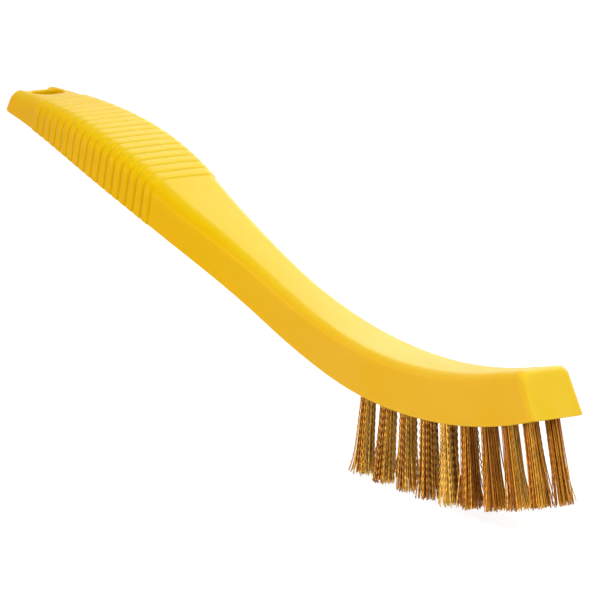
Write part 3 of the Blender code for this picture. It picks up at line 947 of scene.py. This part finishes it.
@dataclass(frozen=True)
class WireShape:
    """The centre line of one arm of a folded wire: where it stands, how it is crimped and where it ends."""

    root: Pair
    tip: Pair
    bow: Pair
    bow_start: float
    crimp_depth: float
    crimp_turn: float
    crimp_phase: float
    length: float
    tone: float


@dataclass(frozen=True)
class TuftHabit:
    """How one tuft differs from its neighbours: its crimp, its spread and its lean."""

    crimp_depth: float
    crimp_fade: float
    spread: float
    drift: Pair
    phases: tuple[float, ...]
    tones: tuple[float, ...]


@dataclass
class WireTuft:
    """A bundle of crimped wires, folded over an anchor in its hole."""

    seat: TuftSeat
    anchor: Anchor = field(default_factory=Anchor)
    folded_wires: int = 27
    wire_radius: float = 0.17 * MM
    wire_sides: int = 4
    first_normal: Triple = (0.3, 1.0, 0.1)
    root_radius: float = 1.95 * MM
    spread: Pair = (1.42, 1.80)
    spread_jitter: Pair = (0.93, 1.07)
    drift: float = 0.6 * MM
    nose_spread: float = 0.79
    fan_bend: float = 0.3
    length: float = 22.8 * MM
    unevenness: float = 0.8 * MM
    uneven_range: Pair = (-1.0, 0.45)
    crimp_pitch: float = 1.95 * MM
    crimp_depths: Pair = (0.06 * MM, 0.28 * MM)
    crimp_jitter: Pair = (0.8, 1.15)
    crimp_from: float = 1.6
    crimp_columns: float = 3.6
    crimp_fades: Pair = (14.0 * MM, 19.0 * MM)
    crimp_fade_length: float = 5.0 * MM
    crimp_fade_share: float = 0.6
    crimp_before: float = 1.2 * MM
    crimp_rise: float = 2.2 * MM
    crimp_samples: int = 4
    crimp_facing: float = -0.77
    facing_scatter: float = 0.3
    phase_scatter: float = 0.11
    strand_width: float = 1.25 * MM
    strands: int = 5
    strand_tone_share: float = 0.5
    hole_step: float = 0.85 * MM
    hole_samples: int = 6
    fold_depth: float = 6.3 * MM
    fold_steps: int = 5
    squeeze_start: float = 1.5 * MM
    squeeze_short: float = 1.9 * MM
    anchor_play: float = 0.03 * MM
    least_drop: float = 0.25 * MM
    least_aside: float = 0.12 * MM
    spot_scatter: float = 0.04 * MM
    bow: float = 0.5 * MM
    bow_latest: float = 0.35
    stray_share: float = 0.10
    stray_turn: float = 0.5
    stray_bows: Pair = (0.7 * MM, 1.9 * MM)
    flared_column: int = 8
    flare: float = 2.0 * MM
    flare_start: float = 0.6
    flare_jitter: Pair = (0.3, 1.0)
    flare_from: Pair = (0.25, 0.75)
    # Painted shade by row: the far row, on the +Y side, is darkened and the near row lightened a little.
    painted_row_shade: Pair = (-0.17, 0.06)
    box_margin: float = 0.02 * MM
    seed: int = 40
    seed_step: int = 10

    def habit(self, luck: random.Random) -> TuftHabit:
        """Return how this tuft differs from its neighbours: the ones near the nose are hardly crimped."""
        tailward = half_wave((self.seat.column - self.crimp_from) / self.crimp_columns)
        at_nose = self.seat.column == 0
        crimp_fade = luck.uniform(*self.crimp_fades)
        spread = luck.uniform(*self.spread) * (self.nose_spread if at_nose else 1.0)
        sideways = luck.uniform(-self.drift, self.drift)
        lengthways = luck.uniform(-self.drift, self.drift)
        return TuftHabit(
            crimp_depth=mix(*self.crimp_depths, tailward),
            crimp_fade=crimp_fade,
            spread=spread,
            drift=(sideways, min(lengthways, 0.0) if at_nose else lengthways),
            phases=tuple(luck.random() for _ in range(self.strands)),
            tones=tuple(luck.random() for _ in range(self.strands)),
        )

    def strand(self, spot: Pair) -> int:
        """Return which strand a wire belongs to: wires that were crimped together lie side by side."""
        across = spot[0] * math.cos(self.crimp_facing) - spot[1] * math.sin(self.crimp_facing)
        return min(max(round(across / self.strand_width) + self.strands // 2, 0), self.strands - 1)

    def arm(self, luck: random.Random, spot: Pair, habit: TuftHabit) -> WireShape:
        """Return the shape of one arm of a wire.

        Args:
            luck: the tuft's own run of random numbers.
            spot: where the arm stands in the hole, sideways and lengthways.
            habit: how the tuft differs from its neighbours.

        Returns:
            The arm's shape.
        """
        spread = habit.spread * luck.uniform(*self.spread_jitter)
        tip = (spot[0] * spread + habit.drift[0], spot[1] * spread + habit.drift[1])
        bow_turn = luck.uniform(0.0, FULL_TURN)
        bow = luck.uniform(0.0, self.bow)
        if luck.random() < self.stray_share:
            bow_turn = math.atan2(spot[0], spot[1]) + luck.uniform(-self.stray_turn, self.stray_turn)
            bow = luck.uniform(*self.stray_bows)
        bow_start = luck.uniform(0.0, self.bow_latest)
        tailward = held(-spot[1] / self.root_radius)
        if self.seat.column == self.flared_column and tailward > luck.uniform(*self.flare_from):
            bow = self.flare * luck.uniform(*self.flare_jitter)
            bow_turn, bow_start = math.pi, self.flare_start
        strand = self.strand(spot)
        # Painted shade: the far row's wires are moved to darker tones and the near row's to lighter ones.
        row_shade = self.painted_row_shade[0 if self.seat.row is Row.LEFT else 1]
        return WireShape(
            root=spot,
            tip=tip,
            bow=(bow * math.sin(bow_turn), bow * math.cos(bow_turn)),
            bow_start=bow_start,
            crimp_depth=habit.crimp_depth * luck.uniform(*self.crimp_jitter),
            crimp_turn=self.crimp_facing + luck.gauss(0.0, self.facing_scatter),
            crimp_phase=habit.phases[strand] + luck.gauss(0.0, self.phase_scatter),
            length=self.length + self.unevenness * luck.uniform(*self.uneven_range),
            tone=held(mix(luck.random(), habit.tones[strand], self.strand_tone_share) + row_shade),
        )

    def trimmed(self, shape: WireShape) -> float:
        """Return the arm's length once its tip is cut off at the floor."""
        tip = self.seat.place(shape.length, *shape.tip)
        short = (self.wire_radius - tip.z) / math.cos(self.seat.lean)
        return shape.length - max(0.0, short)

    def centre(self, shape: WireShape, habit: TuftHabit, out: float) -> tuple[Vector, float]:
        """Return the arm's centre at a distance out of the head, and how near it is to a crimp's crest."""
        share = max(out, 0.0) / self.length
        bend = max(0.0, (share - shape.bow_start) / (1.0 - shape.bow_start)) ** 2
        fan = mix(share, share * share, self.fan_bend)
        sideways = mix(shape.root[0], shape.tip[0], fan) + shape.bow[0] * bend
        lengthways = mix(shape.root[1], shape.tip[1], fan) + shape.bow[1] * bend
        depth = -min(out, 0.0)
        clear = 0.5 * self.anchor.thickness + self.wire_radius + self.anchor_play
        squeeze = half_wave((depth - self.squeeze_start) / (self.anchor.top_depth - self.squeeze_short))
        apart = math.copysign(mix(clear, self.root_radius, abs(lengthways) / self.root_radius), lengthways)
        lengthways = mix(lengthways, apart, squeeze)
        wave = math.sin(FULL_TURN * (out / self.crimp_pitch + shape.crimp_phase))
        ease = held((out + self.crimp_before) / self.crimp_rise)
        faded = half_wave((out - habit.crimp_fade) / self.crimp_fade_length)
        swing = shape.crimp_depth * (ease * (1.0 - self.crimp_fade_share * faded)) * wave
        sideways += swing * math.sin(shape.crimp_turn)
        lengthways += swing * math.cos(shape.crimp_turn)
        crest = 0.5 + 0.5 * wave if out > 0.0 else 0.0
        return self.seat.place(out, sideways, lengthways), crest * shape.crimp_depth / self.crimp_depths[1]

    def arm_line(self, shape: WireShape, habit: TuftHabit) -> Line:
        """Return the arm's centre line from just over the fold to the tip."""
        end = self.trimmed(shape)
        step = self.crimp_pitch / self.crimp_samples
        share = 1.0 / self.crimp_samples
        start = (share - shape.crimp_phase % share) * self.crimp_pitch
        outs = [-depth * self.hole_step for depth in range(self.hole_samples, 0, -1)]
        outs += [start + step * index for index in range(int((end - start) / step))] + [end]
        return [self.centre(shape, habit, out) for out in outs]

    def fold_line(self, first: Vector, second: Vector) -> Line:
        """Return the bend under the anchor that joins the inner ends of two arms."""
        middle = first.lerp(second, 0.5)
        half = 0.5 * (second - first)
        deepest = self.fold_depth - self.wire_radius - self.hole_samples * self.hole_step
        drop = mix(self.least_drop, deepest, half.length / self.root_radius)
        inward = -self.seat.along() * drop
        turns = [math.pi * step / (self.fold_steps + 1) for step in range(1, self.fold_steps + 1)]
        return [(middle - half * math.cos(turn) + inward * math.sin(turn), 0.0) for turn in turns]

    def spots(self, luck: random.Random) -> list[Pair]:
        """Return where the arms on the nose side of the anchor stand, spread over half of the hole."""
        golden = math.pi * (3.0 - math.sqrt(5.0))
        found = []
        for index in range(2 * self.folded_wires):
            radius = self.root_radius * math.sqrt((index + 0.5) / (2 * self.folded_wires))
            turn = golden * index
            sideways, lengthways = radius * math.sin(turn), radius * math.cos(turn)
            if lengthways > 0.0:
                sideways += luck.gauss(0.0, self.spot_scatter)
                found.append((sideways, max(lengthways, self.least_aside)))
        return found

    def add_wire(self, shape: Shape, line: Line) -> None:
        """Sweep a wire along its centre line, with its frame carried along so that it doesn't twist."""
        points = [point for point, _ in line]
        count = len(points)
        normal = Vector(self.first_normal).normalized()
        loops = []
        for index, point in enumerate(points):
            tangent = (points[min(index + 1, count - 1)] - points[max(index - 1, 0)]).normalized()
            normal = (normal - tangent * normal.dot(tangent)).normalized()
            beside = tangent.cross(normal)
            loop = []
            for side in range(self.wire_sides):
                turn = FULL_TURN * side / self.wire_sides
                loop.append(point + (normal * math.cos(turn) + beside * math.sin(turn)) * self.wire_radius)
            loops.append(loop)
        add_loft(shape, loops)

    def build(self, material: Material, highest: Vector) -> Thing:
        """Build the tuft.

        Args:
            material: the wires' finish.
            highest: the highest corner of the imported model, which no wire may pass.

        Returns:
            The tuft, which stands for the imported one.
        """
        own = self.seed_step * self.seat.column + (1 if self.seat.row is Row.LEFT else 0)
        luck = random.Random(self.seed + own)
        habit = self.habit(luck)
        shape = bmesh.new()
        tones: list[float] = []
        crests: list[float] = []
        for spot in self.spots(luck):
            ahead = self.arm(luck, spot, habit)
            behind = self.arm(luck, (spot[0], -spot[1]), habit)
            first, second = self.arm_line(ahead, habit), self.arm_line(behind, habit)
            line = list(reversed(first)) + self.fold_line(first[0][0], second[0][0]) + second
            self.add_wire(shape, line)
            half = self.wire_sides * len(first) + self.wire_sides * self.fold_steps // 2
            tones += [ahead.tone] * half
            tones += [behind.tone] * (self.wire_sides * len(line) - half)
            crests += [crest for _, crest in line for _ in range(self.wire_sides)]
        limit = highest.x - self.box_margin
        for vertex in shape.verts:
            vertex.co.x = min(vertex.co.x, limit)
            vertex.co.z = max(vertex.co.z, 0.0)
        tuft = new_object(f"wire_tuft_{self.seat.name()}", shape, material)
        # wire_tone holds each wire's own tone with the painted row shade added.
        give_attribute(tuft.data, "wire_tone", tones)
        # crimp_crest drives the painted highlight on the crests of the crimp.
        give_attribute(tuft.data, "crimp_crest", crests)
        return tuft


@dataclass(frozen=True)
class TuftRows:
    """Both rows of tufts: where each one is seated in the head."""

    columns: int = 9
    pitch: float = 7.65 * MM
    to_nose: float = 6.4 * MM
    spacing: float = 8.3 * MM
    lean: float = math.radians(5.9)
    fan: float = 0.77

    def seats(self, handle: HandleMoulding) -> list[TuftSeat]:
        """Return the seats of all the tufts."""
        return [self.seat(handle, row, column) for row in Row for column in range(self.columns)]

    def seat(self, handle: HandleMoulding, row: Row, column: int) -> TuftSeat:
        """Return the seat of one tuft, counted from the nose."""
        underside = handle.underside
        x = underside.length() - self.to_nose - column * self.pitch
        foot = handle.moved(Vector((x, row.value * 0.5 * self.spacing, underside.height(x))))
        return TuftSeat(row, column, foot, self.lean + self.fan * underside.slope(x))


# The studio


@dataclass(frozen=True)
class SoftBox:
    """A square soft light that faces the brush."""

    name: str
    azimuth: float
    elevation: float
    distance: float
    size: float
    power: float
    colour: Triple = (1.0, 1.0, 1.0)

    def build(self, target: Vector) -> None:
        """Hang the light so that it faces the target."""
        light = bpy.data.lights.new(self.name, "AREA")
        light.shape = "SQUARE"
        light.size = self.size
        light.energy = self.power
        light.color = self.colour
        holder = placed(self.name, light)
        back = direction(self.azimuth, self.elevation)
        holder.location = target + back * self.distance
        holder.rotation_mode = "QUATERNION"
        holder.rotation_quaternion = (-back).to_track_quat("-Z", "Y")


def direction(azimuth: float, elevation: float) -> Vector:
    """Return the direction towards a place seen at the azimuth and elevation, in degrees, with 0 at -Y."""
    turn, tilt = math.radians(azimuth), math.radians(elevation)
    return Vector((math.sin(turn) * math.cos(tilt), -math.cos(turn) * math.cos(tilt), math.sin(tilt)))


@dataclass(frozen=True)
class Studio:
    """The camera, the lights and the white floor."""

    azimuth: float = 45.81203
    elevation: float = 13.66983
    roll: float = 5.65782
    distance: float = 2634.636 * MM
    aim: Triple = (3.0899 * MM, 2.1066 * MM, 38.9275 * MM)
    lens: float = 583.8945
    sensor: float = 36.0
    clip: Pair = (0.05, 50.0)
    floor_side: float = 6.0
    ambient: float = 0.28
    lights: tuple[SoftBox, ...] = (
        SoftBox("main", 92.0, 59.0, 1.2, 0.8, 12.7, (0.95, 1.0, 0.98)),
        SoftBox("front_left", -30.0, 6.0, 3.0, 0.6, 40.0, (1.0, 0.72, 0.45)),
        SoftBox("back", 205.0, 31.0, 1.6, 1.2, 9.5),
    )

    def build(self) -> None:
        """Build the whole studio."""
        self.build_camera()
        self.build_world()
        self.build_floor()
        for light in self.lights:
            light.build(Vector(self.aim))
        bpy.context.scene.view_settings.view_transform = "Standard"

    def build_camera(self) -> None:
        """Set the camera where the photograph was taken from, with its roll."""
        camera = bpy.data.cameras.new("camera")
        camera.lens = self.lens
        camera.sensor_width = self.sensor
        camera.clip_start, camera.clip_end = self.clip
        back = direction(self.azimuth, self.elevation)
        turn, roll = math.radians(self.azimuth), math.radians(self.roll)
        level = Vector((math.cos(turn), math.sin(turn), 0.0))
        upright = back.cross(level)
        right = level * math.cos(roll) + upright * math.sin(roll)
        up = upright * math.cos(roll) - level * math.sin(roll)
        place = Vector(self.aim) + back * self.distance
        holder = placed("camera", camera)
        turned = Matrix((right, up, back)).transposed().to_4x4()
        holder.matrix_world = Matrix.Translation(place) @ turned
        bpy.context.scene.camera = holder

    def build_world(self) -> None:
        """Light the brush softly from all round, in front of a white background."""
        world = bpy.data.worlds.new("white_surround")
        world.use_nodes = True
        bpy.context.scene.world = world
        nodes, links = world.node_tree.nodes, world.node_tree.links
        level = nodes.new("ShaderNodeMapRange")
        level.inputs["To Min"].default_value = self.ambient
        level.inputs["To Max"].default_value = 1.0
        links.new(seen_rays(world.node_tree), level.inputs["Value"])
        links.new(level.outputs["Result"], nodes["Background"].inputs["Strength"])
        nodes["Background"].inputs["Color"].default_value = (1.0, 1.0, 1.0, 1.0)

    def build_floor(self) -> None:
        """Lay the floor that the brush stands on."""
        half = 0.5 * self.floor_side
        shape = bmesh.new()
        corners = ((-half, -half), (half, -half), (half, half), (-half, half))
        shape.faces.new([shape.verts.new((*corner, 0.0)) for corner in corners])
        floor = new_object("floor", shape, WhiteFloor().build())
        floor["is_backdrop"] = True


def dress_anchors(nodes: dict[str, Thing], material: Material) -> int:
    """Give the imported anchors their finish, and return how many there are."""
    anchors = [node for name, node in nodes.items() if name.startswith("anchor_")]
    for anchor in anchors:
        anchor.data.materials.clear()
        anchor.data.materials.append(material)
    return len(anchors)


def main() -> None:
    """Build the brush's looks and its studio."""
    logging.basicConfig(level=logging.INFO, format="%(message)s")
    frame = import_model()
    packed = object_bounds()
    Studio().build()
    LOG.info("studio: camera, lights and floor")

    handle = HandleMoulding()
    seats = TuftRows().seats(handle)
    moulding = handle.build(seats, TuftHole(), MouldedPlastic().build())
    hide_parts("handle")
    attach(moulding, "root")
    LOG.info("handle_moulding: %d faces", len(moulding.data.polygons))

    brass = CrimpedBrass().build()
    for seat in seats:
        tuft = WireTuft(seat).build(brass, packed[1])
        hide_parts(f"tuft_{seat.name()}")
        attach(tuft, "root")
        LOG.info("%s: %d faces", tuft.name, len(tuft.data.polygons))

    LOG.info("anchors: %d", dress_anchors(frame["nodes"], RolledSteel().build()))


if __name__ == "__main__":
    main()
